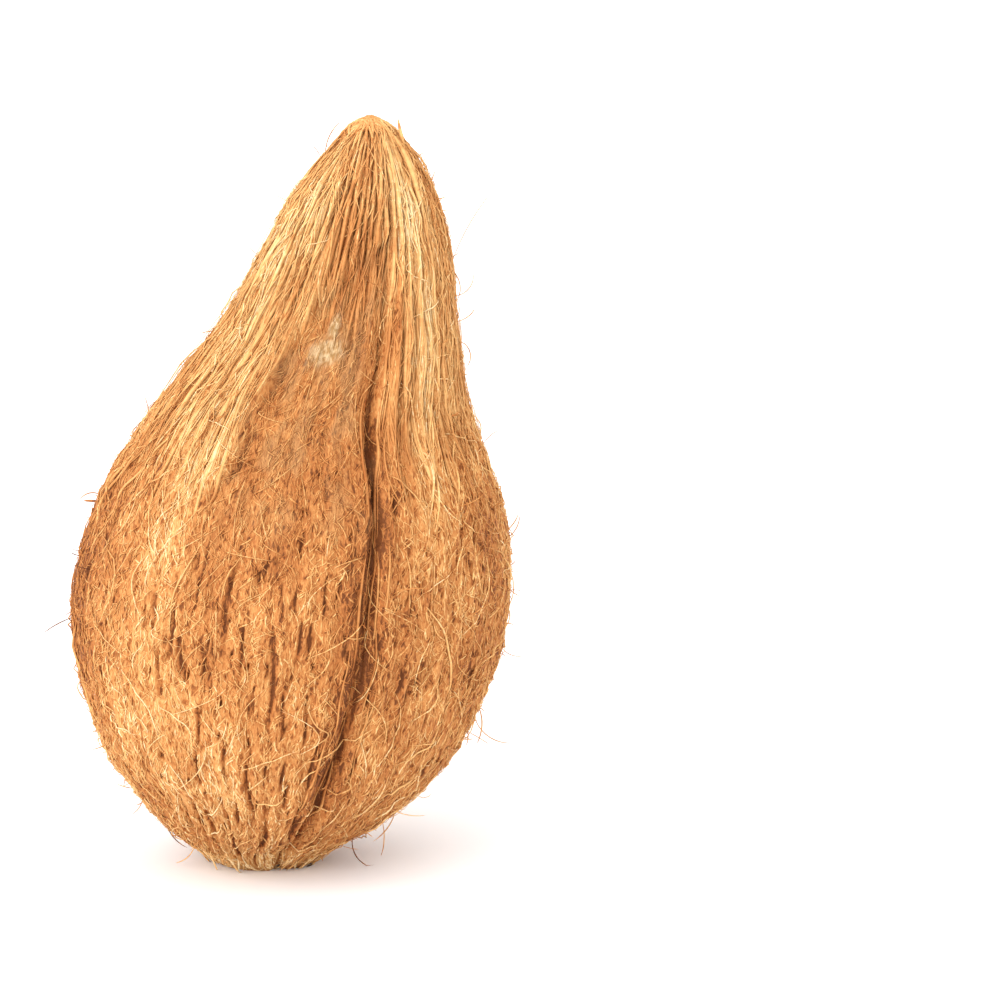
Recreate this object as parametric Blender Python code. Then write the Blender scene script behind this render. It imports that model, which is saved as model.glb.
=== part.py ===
"""Coconut with most of its husk pulled off: a coat of matted fibre over the nut, three seams
that meet at the blossom end, and the long fibre tuft left on over the eyes.

It stands on a small flat spot at the blossom end. +Z is up and the front faces -Y. Metres.
"""

import math
import random

import bmesh
import bpy
import numpy as np

# Driving dimensions: the height, the flat spot's radius, the depth from front to back as a share
# of the width, how far the tip leans back, and how three-sided the nut is
HEIGHT = 0.1996
SPOT_RADIUS = 0.0135
DEPTH_SHARE = 0.96
LEAN_BACK = 0.004
LOBE_SHARE = 0.014

# The standing outline, from the rim of the flat spot to the tip of the tuft: height above the
# surface it stands on, sideways place of the middle, and half the width there
OUTLINE = (
    (0.0000, -0.0076, SPOT_RADIUS),
    (0.0050, -0.0079, 0.0200),
    (0.0120, -0.0060, 0.0299),
    (0.0210, -0.0041, 0.0387),
    (0.0320, -0.0036, 0.0466),
    (0.0450, -0.0026, 0.0524),
    (0.0678, -0.0008, 0.0575),
    (0.0973, 0.0021, 0.0535),
    (0.1241, 0.0051, 0.0407),
    (0.1455, 0.0124, 0.0307),
    (0.1670, 0.0173, 0.0231),
    (0.1790, 0.0192, 0.0181),
    (0.1890, 0.0206, 0.0120),
    (0.1962, 0.0212, 0.0060),
    (HEIGHT, 0.0213, 0.0),
)

# Seams: the nut has three, a third of a turn apart. Each is a groove that drifts as it climbs,
# and is shallow and narrow on the flat spot
THIRD = 2 * math.pi / 3
SEAM_TURN = math.radians(16)
SEAM_DRIFT = math.radians(7)
SEAM_DRIFT_TOP = 0.05
SEAM_DEPTH = (0.0018, 0.0036)
SEAM_HALF_WIDTH = (0.0026, 0.0046)
SEAM_TOP = (0.142, 0.172)

# Bare faces to the left of the seams, where long fibre was pulled away and the coat lies lower:
# their width, the softness of their edge, their depth, and the heights between which they fade
# in at the bottom and close to a point at the top
FACE_TURN = math.radians(49)
FACE_EDGE = math.radians(5)
FACE_DEPTH = 0.0026
FACE_FADE = (0.088, 0.116)
FACE_APEX = (0.136, 0.172)
FACE_APEX_POWER = 3

# Fibre strands, as ridges that run from the tip down over the body. They are high on the tuft and
# low on the coat, and lower by half on the bare faces
STRANDS_ROUND = 64
TUFT_STRAND = 0.0009
COAT_STRAND = 0.00045
STRAND_FADE = (0.070, 0.125)
BARE_STRAND = 0.5

# Unevenness of the strands, and of the coat: waves per turn and waves per metre of height, a pair
# for each of the two sines that are multiplied
UNEVEN = 0.3
UNEVEN_WAVES = ((7, 60), (5, -95))
SWELL = 0.0008
SWELL_WAVES = ((4, 45), (3, -70))

# Relief eases out towards the flat spot and towards the tip: radius and height where it is full
EASE_RADIUS = 0.016
EASE_HEIGHT = 0.006

# Drying cracks along the fibre, repeated on each third of the coat with a small shift: turn from
# the front in degrees, height of the middle, and length
CRACKS = (
    (-30, 0.073, 0.012),
    (-15, 0.083, 0.017),
    (-2, 0.063, 0.024),
    (-22, 0.048, 0.012),
)
CRACK_RADIUS = 0.0009
CRACK_DEPTH = 0.0008
CRACK_CLEAR = 0.0011
CRACK_SHIFT_TURN = math.radians(9)
CRACK_SHIFT_DOWN = 0.006

# The grid of the solid: every strand has a column on its crest and one in its valley
COLUMNS = 2 * STRANDS_ROUND
ROWS = 30
SPOT_ROWS = 2
SPOT_SHARE = SPOT_ROWS / ROWS

# Loose fibres that arch over the surface, drawn thicker than life: how many, the shares of the
# way up where they start, their lengths, the most that they turn, how high they arch, and
# whether the far end is free
LOOSE_FIBRES = (
    ("tuft", 22, (0.66, 0.82), (0.020, 0.034), 0.10, (0.0013, 0.0022), False),
    ("coat", 22, (0.20, 0.62), (0.014, 0.026), 0.22, (0.0014, 0.0024), False),
    ("free", 7, (0.30, 0.90), (0.010, 0.014), 0.12, (0.0030, 0.0042), True),
)
FIBRE_RADIUS = 0.0006
FIBRE_END_SHARE = 0.55
FIBRE_POINTS = 6
FIBRE_JITTER = 0.2
ARCH_POWER = 0.8
ROOT_DEPTH = 0.0016
ROOT_POWER = 4
GOLDEN_TURN = math.pi * (3 - math.sqrt(5))
SEED = 7

FIBRE_COLOUR = (0.62, 0.32, 0.12, 1.0)
FIBRE_ROUGHNESS = 0.85

MERGE = 1e-6
TINY = 1e-12
SLOPE_STEP = 1e-3


def smooth_step(low, high, value):
    """0 below low, 1 above high, and a smooth rise between them."""
    share = np.clip((value - low) / (high - low), 0.0, 1.0)
    return share * share * (3.0 - 2.0 * share)


def between(ends, share):
    """The value that lies that share of the way from the first end to the second."""
    return ends[0] + (ends[1] - ends[0]) * share


def along(knots, values, where):
    """The smooth curve through the knots, read at where: a cubic on each span."""
    slopes = np.gradient(values, knots)
    span = np.clip(np.searchsorted(knots, where) - 1, 0, len(knots) - 2)
    width = knots[span + 1] - knots[span]
    t = (where - knots[span]) / width
    start = (1 + 2 * t) * (1 - t) ** 2 * values[span] + t * (1 - t) ** 2 * width * slopes[span]
    end = t * t * (3 - 2 * t) * values[span + 1] + t * t * (t - 1) * width * slopes[span + 1]
    return start + end


HEIGHTS, MIDDLES, HALVES = np.array(OUTLINE).T
CLIMB = np.concatenate([[0.0], np.cumsum(np.hypot(np.diff(HEIGHTS), np.diff(HALVES)))])
WHOLE_CLIMB = CLIMB[-1]


def outline_at(share):
    """Height, sideways place of the middle and half width, where share runs from 0 in the middle
    of the flat spot to 1 at the tip."""
    climb = WHOLE_CLIMB * np.clip((share - SPOT_SHARE) / (1 - SPOT_SHARE), 0.0, 1.0)
    half = along(CLIMB, HALVES, climb) * np.clip(share / SPOT_SHARE, 0.0, 1.0)
    return along(CLIMB, HEIGHTS, climb), along(CLIMB, MIDDLES, climb), half


def plain_point(turn, share):
    """The coconut without its relief, turn being the angle from the front, positive to +X."""
    height, middle, half = outline_at(share)
    half = half * (1 - LOBE_SHARE * np.cos(3 * (turn - SEAM_TURN)))
    back = LEAN_BACK * (height / HEIGHT) ** 2
    return np.stack(
        [
            middle + half * np.sin(turn),
            back - DEPTH_SHARE * half * np.cos(turn),
            height,
        ],
        axis=-1,
    )


def plain_normal(turn, share):
    """The outward direction of the plain surface, straight down on the flat spot."""
    near = np.minimum(share, 1 - SLOPE_STEP)
    across = plain_point(turn + SLOPE_STEP, near) - plain_point(turn - SLOPE_STEP, near)
    up = plain_point(turn, near + SLOPE_STEP / 2) - plain_point(turn, near - SLOPE_STEP / 2)
    normal = np.cross(across, up)
    length = np.linalg.norm(normal, axis=-1, keepdims=True)
    on_spot = (share <= SPOT_SHARE + MERGE)[..., None]
    return np.where(on_spot, (0.0, 0.0, -1.0), normal / np.maximum(length, TINY))


def turn_past(turn, start):
    """The angle from start to turn, between minus and plus half a turn."""
    return (turn - start + math.pi) % (2 * math.pi) - math.pi


def patches(turn, height, waves):
    """Soft patches between -1 and 1: two slanting waves multiplied."""
    (first_turn, first_height), (second_turn, second_height) = waves
    first = np.sin(first_turn * turn + first_height * height)
    return first * np.cos(second_turn * turn + second_height * height)


def seams_and_faces(turn, height, half):
    """How deep the seams cut, and how much a point belongs to a bare face, from 0 to 1."""
    drift = SEAM_DRIFT * smooth_step(0.0, SEAM_DRIFT_TOP, height)
    body = smooth_step(SPOT_RADIUS, 2 * SPOT_RADIUS, half)
    depth = between(SEAM_DEPTH, body) * (1 - smooth_step(*SEAM_TOP, height))
    closing = np.clip((height - FACE_APEX[0]) / (FACE_APEX[1] - FACE_APEX[0]), 0.0, 1.0)
    start = -FACE_TURN * (1 - closing**FACE_APEX_POWER)
    cut = np.zeros_like(turn)
    bare = np.zeros_like(turn)
    for third in range(3):
        beside = turn_past(turn, SEAM_TURN + drift + third * THIRD)
        across = np.abs(beside) * half / between(SEAM_HALF_WIDTH, body)
        cut += depth * np.clip(1 - across**2, 0.0, 1.0) ** 2
        after_left = smooth_step(start - FACE_EDGE, start + FACE_EDGE, beside)
        bare += after_left * (1 - smooth_step(-FACE_EDGE, FACE_EDGE, beside))
    return cut, np.clip(bare, 0.0, 1.0) * smooth_step(*FACE_FADE, height)


def relief(turn, share):
    """How far the surface stands above the plain one, in metres, inwards being negative."""
    height, _, half = outline_at(share)
    cut, bare = seams_and_faces(turn, height, half)
    ease = smooth_step(0.0, EASE_RADIUS, half) * smooth_step(0.0, EASE_HEIGHT, height)
    ridge = between((COAT_STRAND, TUFT_STRAND), smooth_step(*STRAND_FADE, height))
    ridge = ridge * (1 - BARE_STRAND * bare)
    ridge = ridge * (1 - UNEVEN + UNEVEN * patches(turn, height, UNEVEN_WAVES))
    strands = ridge * np.cos(STRANDS_ROUND * turn)
    swell = SWELL * patches(turn, height, SWELL_WAVES)
    return ease * (strands + swell - FACE_DEPTH * bare) - cut


def surface_point(turn, share, lift=0.0):
    """Points on the finished surface, or lift above it."""
    turn = np.asarray(turn, float)
    share = np.asarray(share, float)
    height_over = relief(turn, share) + lift
    return plain_point(turn, share) + plain_normal(turn, share) * height_over[..., None]


def share_at(height):
    """The share of the way up at which the surface reaches a height."""
    shares = np.linspace(SPOT_SHARE, 1.0, 400)
    return float(np.interp(height, outline_at(shares)[0], shares))


def clear_scene():
    for old in list(bpy.data.objects):
        bpy.data.objects.remove(old, do_unlink=True)


def new_collection(name):
    made = bpy.data.collections.new(name)
    bpy.context.scene.collection.children.link(made)
    return made


def fibre_material():
    material = bpy.data.materials.new("coir_fibre")
    material.use_nodes = True
    shader = material.node_tree.nodes["Principled BSDF"]
    shader.inputs["Base Color"].default_value = FIBRE_COLOUR
    shader.inputs["Roughness"].default_value = FIBRE_ROUGHNESS
    shader.inputs["Metallic"].default_value = 0.0
    material.diffuse_color = FIBRE_COLOUR
    return material


def make_body(collection):
    """A sphere's grid, each point carried to its place on the coconut's surface."""
    ball = bmesh.new()
    bmesh.ops.create_uvsphere(ball, u_segments=COLUMNS, v_segments=ROWS, radius=1.0)
    places = np.array([point.co for point in ball.verts])
    share = 1 - np.arccos(np.clip(places[:, 2], -1.0, 1.0)) / math.pi
    turn = np.arctan2(places[:, 0], -places[:, 1])
    for point, place in zip(ball.verts, surface_point(turn, share)):
        point.co = place
    mesh = bpy.data.meshes.new("coconut")
    ball.to_mesh(mesh)
    ball.free()
    mesh.shade_smooth()
    body = bpy.data.objects.new("coconut", mesh)
    collection.objects.link(body)
    return body


def make_tube(name, places, radius, collection):
    """A thin four-sided tube along places, tapered and closed at both ends, as a mesh."""
    curve = bpy.data.curves.new(name, "CURVE")
    curve.dimensions = "3D"
    curve.bevel_depth = radius
    curve.bevel_resolution = 0
    curve.use_fill_caps = True
    line = curve.splines.new("POLY")
    line.points.add(len(places) - 1)
    for index, place in enumerate(places):
        belly = math.sin(math.pi * index / (len(places) - 1))
        line.points[index].co = (*place, 1.0)
        line.points[index].radius = between((FIBRE_END_SHARE, 1.0), belly)
    guide = bpy.data.objects.new(name + "_line", curve)
    collection.objects.link(guide)
    bpy.context.view_layer.update()
    graph = bpy.context.evaluated_depsgraph_get()
    mesh = bpy.data.meshes.new_from_object(guide.evaluated_get(graph))
    bpy.data.objects.remove(guide, do_unlink=True)
    tube = bmesh.new()
    tube.from_mesh(mesh)
    bmesh.ops.remove_doubles(tube, verts=tube.verts, dist=MERGE)
    bmesh.ops.recalc_face_normals(tube, faces=tube.faces)
    tube.to_mesh(mesh)
    tube.free()
    collection.objects.link(bpy.data.objects.new(name, mesh))


def fibre_path(turn, share, length, slant, arch, free):
    """A line over the surface from (turn, share): it comes out of the coat, arches over it and
    dips back in, or ends in the air where it is free. slant turns it as it goes, in radians."""
    steps = np.linspace(0.0, 1.0, FIBRE_POINTS)
    shares = share + length / WHOLE_CLIMB * steps
    hump = arch * np.sin(math.pi * steps * (0.5 if free else 1.0)) ** ARCH_POWER
    far_root = np.zeros_like(steps) if free else steps**ROOT_POWER
    sunk = ROOT_DEPTH * ((1 - steps) ** ROOT_POWER + far_root)
    return surface_point(turn + slant * steps, shares, hump - sunk)


def make_loose_fibres(collection):
    """Fibres spread evenly: each starts a golden turn past the last, and a little further up."""
    draw = random.Random(SEED)
    for kind, count, reach, lengths, slant, arches, free in LOOSE_FIBRES:
        for number in range(count):
            turn = GOLDEN_TURN * number + draw.uniform(-FIBRE_JITTER, FIBRE_JITTER)
            share = between(reach, (number + 0.5) / count)
            length = draw.uniform(*lengths)
            slanted = draw.uniform(-slant, slant)
            path = fibre_path(turn, share, length, slanted, draw.uniform(*arches), free)
            make_tube(f"{kind}_fibre_{number}", path, FIBRE_RADIUS, collection)


def make_cracks(collection):
    """Cutters for the cracks: each dips under the surface in its middle and leaves it at its
    ends."""
    steps = np.linspace(0.0, 1.0, FIBRE_POINTS)
    lift = CRACK_CLEAR - (CRACK_CLEAR + CRACK_DEPTH) * np.sin(math.pi * steps)
    for third in range(3):
        for number, (degrees, height, length) in enumerate(CRACKS):
            turn = math.radians(degrees) + THIRD * third + CRACK_SHIFT_TURN * (third % 2)
            start = share_at(height - CRACK_SHIFT_DOWN * third - length / 2)
            shares = start + length / WHOLE_CLIMB * steps
            path = surface_point(np.full(FIBRE_POINTS, turn), shares, lift)
            make_tube(f"crack_{third}_{number}", path, CRACK_RADIUS, collection)


def combine(body, collection, operation):
    """Joins the collection's objects to the body, or cuts them from it, and removes them."""
    step = body.modifiers.new(collection.name, "BOOLEAN")
    step.operation = operation
    step.operand_type = "COLLECTION"
    step.collection = collection
    step.solver = "EXACT"
    bpy.context.view_layer.update()
    graph = bpy.context.evaluated_depsgraph_get()
    combined = bpy.data.meshes.new_from_object(body.evaluated_get(graph))
    body.modifiers.clear()
    body.data = combined
    for used in list(collection.objects):
        bpy.data.objects.remove(used, do_unlink=True)
    bpy.data.collections.remove(collection)


def main():
    clear_scene()
    body = make_body(new_collection("coconut"))
    cracks = new_collection("cracks")
    make_cracks(cracks)
    combine(body, cracks, "DIFFERENCE")
    fibres = new_collection("loose_fibres")
    make_loose_fibres(fibres)
    combine(body, fibres, "UNION")
    body.data.materials.clear()
    body.data.materials.append(fibre_material())


main()
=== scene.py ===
"""Coconut with most of its husk pulled off, dressed as in life: the felted coat with its seams,
slits and bare faces, the long tuft, and the loose fibres that stand off it.

Every shape is a function of two numbers: turn, the angle from the front, positive to +X, and
climb, the metres of surface from the middle of the flat spot up to the tip. Metres, +Z up.
"""

import math

import bpy
import numpy as np
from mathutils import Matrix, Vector


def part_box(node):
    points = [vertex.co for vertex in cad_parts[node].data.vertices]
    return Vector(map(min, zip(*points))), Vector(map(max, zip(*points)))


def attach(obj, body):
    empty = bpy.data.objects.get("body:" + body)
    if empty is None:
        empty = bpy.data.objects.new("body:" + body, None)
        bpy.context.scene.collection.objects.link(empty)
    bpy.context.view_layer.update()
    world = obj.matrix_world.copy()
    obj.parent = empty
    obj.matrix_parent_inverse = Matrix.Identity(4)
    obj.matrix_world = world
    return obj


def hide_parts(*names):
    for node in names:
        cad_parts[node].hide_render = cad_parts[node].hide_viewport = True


bl_info = {
    "name": "Husked coconut",
    "version": (1, 0, 0),
    "blender": (4, 5, 0),
    "location": "View3D > Sidebar > Coconut",
    "description": "Builds the fibre coat, tuft and loose fibres of a husked coconut",
    "category": "Add Mesh",
}

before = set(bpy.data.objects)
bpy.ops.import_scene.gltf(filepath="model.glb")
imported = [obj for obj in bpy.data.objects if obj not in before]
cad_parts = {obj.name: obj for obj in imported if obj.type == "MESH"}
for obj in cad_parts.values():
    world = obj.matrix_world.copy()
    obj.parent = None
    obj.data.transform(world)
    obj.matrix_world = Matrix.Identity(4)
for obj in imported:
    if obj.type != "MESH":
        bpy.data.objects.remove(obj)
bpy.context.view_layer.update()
LOW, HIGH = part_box("coconut")
HEIGHT = HIGH.z - LOW.z

# The standing outline: height, sideways place of the middle, and half the width there
SPOT_RADIUS = 0.0135
OUTLINE = (
    (0.0000, -0.0076, SPOT_RADIUS),
    (0.0050, -0.0079, 0.0200),
    (0.0120, -0.0060, 0.0299),
    (0.0210, -0.0041, 0.0387),
    (0.0320, -0.0036, 0.0466),
    (0.0450, -0.0026, 0.0524),
    (0.0678, -0.0008, 0.0575),
    (0.0973, 0.0021, 0.0535),
    (0.1241, 0.0051, 0.0407),
    (0.1455, 0.0124, 0.0307),
    (0.1670, 0.0173, 0.0231),
    (0.1790, 0.0192, 0.0181),
    (0.1890, 0.0206, 0.0120),
    (0.1962, 0.0212, 0.0060),
    (HEIGHT, 0.0213, 0.0),
)
DEPTH_SHARE = 0.96
LEAN_BACK = 0.004
LOBE_SHARE = 0.014

# Seams, a third of a turn apart: a soft trough, and a sharp one along its middle. Each drifts to
# the right as it climbs, and bends that way once more between two heights. Depths and widths are
# those at the flat spot and on the body, and the pairs of heights are where a thing fades
THIRD = 2 * math.pi / 3
SEAM_TURN = math.radians(16)
SEAM_DRIFT = math.radians(7)
SEAM_DRIFT_TOP = 0.08
SEAM_BEND = math.radians(3.2)
SEAM_BEND_RISE = (0.080, 0.112)
SEAM_DEPTH = (0.0018, 0.0036)
SEAM_HALF_WIDTH = (0.0026, 0.0040)
SEAM_FOOT = (0.002, 0.020)
SEAM_TOP = (0.142, 0.172)
LINE_HALF_WIDTH = (0.0010, 0.0014)
LINE_SHARE = 0.35
LINE_TOP = (0.122, 0.142)

# The painted shade to the left of a seam, where its left bank faces away from the key light: how
# far its middle lies from the seam, half its width, the heights over which it fades out at foot
# and top, and how dark a painted shade it, the trough and the line get
VALLEY_LEFT = 0.0018
VALLEY_HALF_WIDTH = 0.0085
VALLEY_FOOT = (0.016, 0.038)
VALLEY_TOP = (0.082, 0.112)
SEAM_SHADES = (0.66, 0.16, 0.62)
SEAM_RAGGED = 0.0006

# Bare faces to the left of the seams
FACE_TURN = math.radians(49)
FACE_EDGE = math.radians(3.5)
FACE_RAGGED = math.radians(4)
FACE_DEPTH = 0.0026
FACE_FADE = (0.088, 0.116)
FACE_APEX = (0.136, 0.172)
FACE_APEX_POWER = 3
FACE_COVERED = (0.146, 0.158)

# Strand ridges: high on the tuft, low on the coat
STRANDS_ROUND = 64
TUFT_STRAND = 0.0007
COAT_STRAND = 0.00035
STRAND_FADE = (0.087, 0.134)
BARE_STRAND = 0.3
STRAND_WANDER = 1.6

# Lumps of the coat: cells to a turn, height of a cell, seed, and how far the lumps stand out
LUMPS = (
    (14, 0.022, 11, 0.0006),
    (44, 0.011, 12, 0.0004),
    (130, 0.006, 13, 0.00028),
    (240, 0.004, 14, 0.00018),
)
EASE_RADIUS = 0.016
EASE_HEIGHT = 0.006

# The other noises: cells to a turn, height of a cell, and seed
WANDER_NOISE = (30, 0.030, 1)
FACE_NOISE = (90, 0.007, 3)
SEAM_NOISE = (60, 0.006, 4)
KNOB_NOISE = (150, 0.0022, 17)
TONE_NOISE = (200, 0.008, 5)
CLUMP_NOISE = (90, 0.010, 8)
BUNDLE_NOISE = (72, 0.030, 9)

# Drying slits and gaps between strands on the front third: turn from the front in degrees, then
# height of the middle, length and width in millimetres. The other thirds repeat them, shifted
MM = 0.001
SLITS = (
    (-50, 114, 3, 1.3), (-46, 78, 3, 1.6), (-30, 73, 13, 1.6), (-27, 68, 10, 1.3),
    (-22, 48, 12, 1.2), (-21, 116, 3, 1.4), (-15, 83, 18, 1.6), (-6, 91, 6, 1), (-2, 62, 24, 1.8),
    (3, 97, 5, 1.2), (7, 73, 8, 1.1), (26, 70, 5, 1.2), (31, 106, 3, 1.3), (34, 60, 8, 1.8),
    (34, 94, 4, 1.2), (38, 57, 5, 1.4), (41, 117, 3, 1.5), (44, 126, 4, 1.3), (44, 112, 3, 1.2),
    (53, 95, 7, 1.2), (70, 122, 12, 2), (7, 168, 11, 1.4), (19, 164, 6, 1.4), (7, 152, 6, 1.4),
    (12, 151, 8, 1.6), (-6, 168, 5, 1.4), (-32, 166, 6, 1.4), (-26, 163, 4, 1.2),
    (-18, 160, 6, 1.2), (-2, 183, 8, 1.4), (-1, 175, 5, 1.6), (4, 190, 5, 1), (-17, 193, 4, 1.1),
    (-18, 183, 11, 1.4), (-37, 181, 6, 1.4), (-20, 175, 6, 1.3), (54, 178, 6, 1.2),
    (30, 170, 5, 1.3), (-42, 16, 14, 1.3), (-31, 20, 18, 1.4), (-24, 36, 12, 1.1),
    (-18, 22, 14, 1.2), (-8, 30, 20, 1.3), (-2, 14, 14, 1.3), (3, 34, 10, 1.1), (10, 18, 14, 1.2),
    (44, 22, 12, 1.2),
)
SLIT_LENGTHEN = 1.25
SLIT_DEPTH = 0.0012
SLIT_SHIFT_TURN = math.radians(9)
SLIT_SHIFT_DOWN = 0.006

# How a slit bends: how far, in half widths, and the angles that its wave turns by over half a
# length and by its place round the coat
SLIT_BEND = 0.6
SLIT_WAVE = 2.6
SLIT_PHASE = 40

# Small random slits, one drawn in each cell of a lattice: cells to a turn, height of a cell,
# ends of their lengths and widths, heights between which they lie, the share of cells that have
# one, and the seed
SLIT_LAYERS = (
    (70, 0.0065, (0.0016, 0.0060), (0.0004, 0.0009), (0.006, 0.125), 0.45, 41),
    (34, 0.0140, (0.0050, 0.0130), (0.0008, 0.0016), (0.128, 0.194), 0.90, 32),
    (40, 0.0200, (0.0070, 0.0200), (0.0006, 0.0011), (0.004, 0.088), 0.55, 33),
)

# How far slits show in the tuft, cut and as painted shade, and the seams' most painted shade
TUFT_SLITS = 0.3
GROOVE_SHADE_MOST = 0.74

# Paler and darker places of the front half, soft at their edges, partly the fibre's own tone and
# partly painted light: the paler left side, lower left and foot stand in for light from the key
# and the floor. Turn in degrees, height of the middle, half width and half height in millimetres,
# and how much lighter. The back half repeats them, shifted
PATCHES = (
    (-62, 165, 14, 30, 0.12), (-47, 137, 13, 26, 0.14), (-36, 108, 14, 34, 0.13),
    (-38, 82, 20, 30, 0.12), (-40, 50, 26, 32, 0.16), (-62, 85, 16, 50, -0.07),
    (-18, 26, 30, 30, 0.16), (-8, 4, 30, 14, 0.3), (-10, 52, 22, 22, 0.07),
    (-30, 130, 8, 16, 0.08), (-78, 80, 22, 58, -0.28), (4, 93, 14, 18, -0.08),
    (-6, 101, 12, 18, -0.08), (18, 88, 8, 26, -0.1), (27, 94, 7, 22, -0.14), (46, 92, 8, 18, 0.1),
    (48, 146, 12, 44, 0.17), (-30, 182, 8, 26, 0.14), (36, 180, 9, 30, 0.16),
    (3, 168, 9, 36, -0.14), (0, 190, 3, 16, -0.1), (36, 144, 8, 32, -0.22),
    (31, 112, 10, 30, -0.18), (37, 88, 12, 18, 0.08), (32, 70, 10, 26, -0.08),
    (68, 85, 14, 50, -0.14),
)
PATCH_SHIFT_TURN = math.radians(14)

# Pale, knobbly patch at the top of the front bare face: turn, height, half width and half height
# of each of its two lobes, its soft edge as shares of its half sizes, and how far its knobs rise
SCAR_LOBES = (
    (math.radians(-1.5), 0.1495, 0.0016, 0.0032),
    (math.radians(-2.5), 0.1435, 0.0052, 0.0034),
)
SCAR_EDGE = (0.5, 1.4)
SCAR_LUMP = 0.0006

# The fine grid of the coat
COLUMNS = 560
SPOT_RINGS = 8
ROWS = 160

# Fibres: sides of one, how far its ends are sunk by kind, how far a root lies under the coat,
# where the ends of laid fibres stop short of the foot and tip, and their map's cells
SIDES = 3
COAT_SUNK = 0.0004
SEAM_SUNK = 0.0005
TUFT_SUNK = 0.0006
ROOT_DEPTH = 0.0004
LAID_FOOT = 0.6 * SPOT_RADIUS
LAID_TOP = 0.004
LAID_NARROWEST = 0.006
PLACE_JITTER = 0.05
CELL_STRETCH = 3
UV_INSET = 0.06
FLOOR_CLEAR = 0.0001

MERGE = 1e-6
TINY = 1e-12
SLOPE_STEP = 1e-4
SLOPE_MARGIN = 8e-4
NOISE_MARGIN = 1.001
PROFILE_STEPS = 1200
FULL_TURN = 2 * math.pi
GOLDEN_TURN = math.pi * (3 - math.sqrt(5))


def smooth_step(low, high, value):
    """0 below low, 1 above high, and a smooth rise between them."""
    share = np.clip((value - low) / (high - low), 0.0, 1.0)
    return share * share * (3.0 - 2.0 * share)


def between(ends, share):
    """The value that lies that share of the way from the first end to the second."""
    return ends[0] + (ends[1] - ends[0]) * share


def along(knots, values, where):
    """The smooth curve through the knots, read at where: on each span the cubic that has the
    knots' values at its ends and there the slope between the neighbouring knots."""
    slopes = np.gradient(values, knots)
    span = np.clip(np.searchsorted(knots, where) - 1, 0, len(knots) - 2)
    width = knots[span + 1] - knots[span]
    t = (where - knots[span]) / width
    start = (1 + 2 * t) * (1 - t) ** 2 * values[span] + t * (1 - t) ** 2 * width * slopes[span]
    end = t * t * (3 - 2 * t) * values[span + 1] + t * t * (t - 1) * width * slopes[span + 1]
    return start + end


HEIGHTS, MIDDLES, HALVES = np.array(OUTLINE).T
KNOTS = np.concatenate([[0.0], np.cumsum(np.hypot(np.diff(HEIGHTS), np.diff(HALVES)))])
TIP_CLIMB = SPOT_RADIUS + KNOTS[-1]


def profile(climb):
    """Height, sideways middle and half width at that climb. On the flat spot the half width is
    the climb itself."""
    up = np.clip(climb - SPOT_RADIUS, 0.0, KNOTS[-1])
    half = along(KNOTS, HALVES, up) * np.clip(climb / SPOT_RADIUS, 0.0, 1.0)
    return along(KNOTS, HEIGHTS, up), along(KNOTS, MIDDLES, up), half


CLIMB_STEPS = np.linspace(0.0, TIP_CLIMB, PROFILE_STEPS)
STEP_HEIGHTS, _, STEP_HALVES = profile(CLIMB_STEPS)
AREA_STEPS = np.cumsum(STEP_HALVES)
WIDEST_STEP = int(np.argmax(STEP_HALVES))


def climb_at(height):
    """The climb at which the coat reaches a height."""
    return np.interp(height, STEP_HEIGHTS, CLIMB_STEPS)


def climb_near_tip(half):
    """The climb above the widest place at which the half width has come down to half."""
    upper = slice(None, WIDEST_STEP, -1)
    return np.interp(half, STEP_HALVES[upper], CLIMB_STEPS[upper])


def smooth_coat(turn, climb):
    """The coconut without relief: a ring round the leaning middle line at each climb, with its
    half width eased in at the seams and its depth a fixed share of its width."""
    height, middle, half = profile(climb)
    half = half * (1 - LOBE_SHARE * np.cos(3 * (turn - SEAM_TURN)))
    back = LEAN_BACK * (height / HEIGHT) ** 2
    across = middle + half * np.sin(turn)
    return np.stack([across, back - DEPTH_SHARE * half * np.cos(turn), height], axis=-1)


def unit(vectors):
    """The vectors at length 1."""
    return vectors / np.maximum(np.linalg.norm(vectors, axis=-1, keepdims=True), TINY)


def slopes_of(turn, climb):
    """The directions round and up the smooth coat."""
    near = np.clip(climb, SLOPE_STEP, TIP_CLIMB - SLOPE_MARGIN)
    across = smooth_coat(turn + SLOPE_STEP, near) - smooth_coat(turn - SLOPE_STEP, near)
    up = smooth_coat(turn, near + SLOPE_STEP) - smooth_coat(turn, near - SLOPE_STEP)
    return unit(across), unit(up)


def outward(turn, climb):
    """The outward direction of the smooth coat: the cross product of its two slopes, and
    straight down on the flat spot."""
    across, up = slopes_of(turn, climb)
    on_spot = (climb <= SPOT_RADIUS + MERGE)[..., None]
    return np.where(on_spot, (0.0, 0.0, -1.0), unit(np.cross(across, up)))


def turn_past(turn, start):
    """The angle from start to turn, between minus and plus half a turn."""
    return (turn - start + math.pi) % FULL_TURN - math.pi


def lattice_noise(turn, climb, cells_round, cell, seed):
    """Smooth noise between -1 and 1 that closes round the coconut: random values stand on a
    lattice in turn and climb, and are blended with a smooth step, first round and then up."""
    rows = int(TIP_CLIMB / cell) + 3
    values = np.random.default_rng(seed).uniform(-1.0, 1.0, (rows, cells_round))
    across = (turn / FULL_TURN) % 1.0 * cells_round
    up = np.clip(climb / cell, 0.0, rows - NOISE_MARGIN)
    column = np.floor(across).astype(int)
    row = np.floor(up).astype(int)
    ease_round = smooth_step(0.0, 1.0, across - column)
    ease_up = smooth_step(0.0, 1.0, up - row)
    column, following = column % cells_round, (column + 1) % cells_round
    lower = between((values[row, column], values[row, following]), ease_round)
    upper = between((values[row + 1, column], values[row + 1, following]), ease_round)
    return between((lower, upper), ease_up)


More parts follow.
